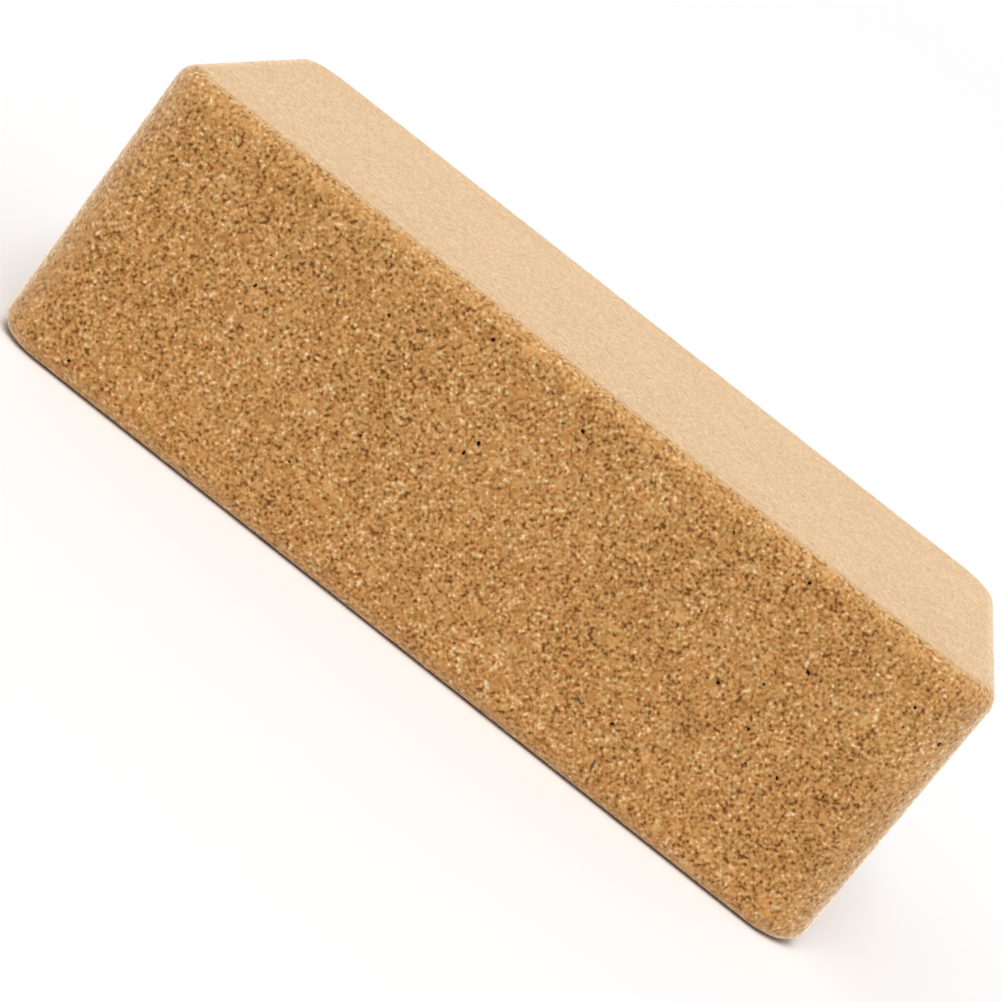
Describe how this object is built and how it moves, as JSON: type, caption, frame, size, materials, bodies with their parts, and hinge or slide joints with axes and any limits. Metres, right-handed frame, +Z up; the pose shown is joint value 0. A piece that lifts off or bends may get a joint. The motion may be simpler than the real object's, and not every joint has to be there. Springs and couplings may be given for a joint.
{
  "type": "cork sanding block",
  "caption": "Solid bar of fine-grained agglomerated cork with rounded corners and eased edges, held in the hand with abrasive paper wrapped round it for flat sanding.",
  "frame": {"origin": "centre of the sole, the broad face that the block rests on", "axes": "+X along the length, +Y across the width, +Z up from the sole to the top"},
  "size_m": [0.11, 0.066, 0.036],
  "materials": {
    "cork": "raw fine-grained agglomerated cork, matt, cut and sanded"
  },
  "bodies": {
    "root": {"cork_block": "cork"}
  },
  "joints": []
}
